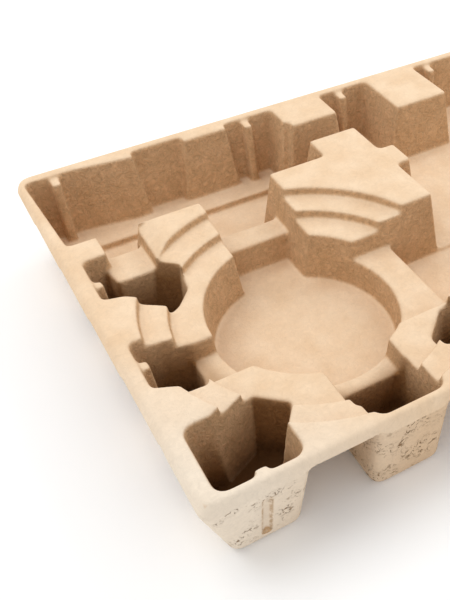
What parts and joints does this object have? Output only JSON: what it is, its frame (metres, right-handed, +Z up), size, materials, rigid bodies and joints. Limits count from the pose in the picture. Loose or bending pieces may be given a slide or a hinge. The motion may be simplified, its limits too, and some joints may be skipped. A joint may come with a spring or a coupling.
{
  "type": "molded pulp insert",
  "caption": "Thin-walled molded pulp packing insert with a round stepped bowl, block towers, leg pockets, a ribbed far wall and a turned-down rim lip, to hold goods in a box.",
  "frame": {"origin": "centre of the bounding box in plan, on the ground under the legs", "axes": "+X along the tray to the right, +Y from the near rim to the far wall, +Z up"},
  "size_m": [0.6216, 0.408, 0.08],
  "materials": {
    "pulp": "matt brown paper pulp, smooth above and rough below"
  },
  "bodies": {
    "root": {"insert": "pulp"}
  },
  "joints": []
}
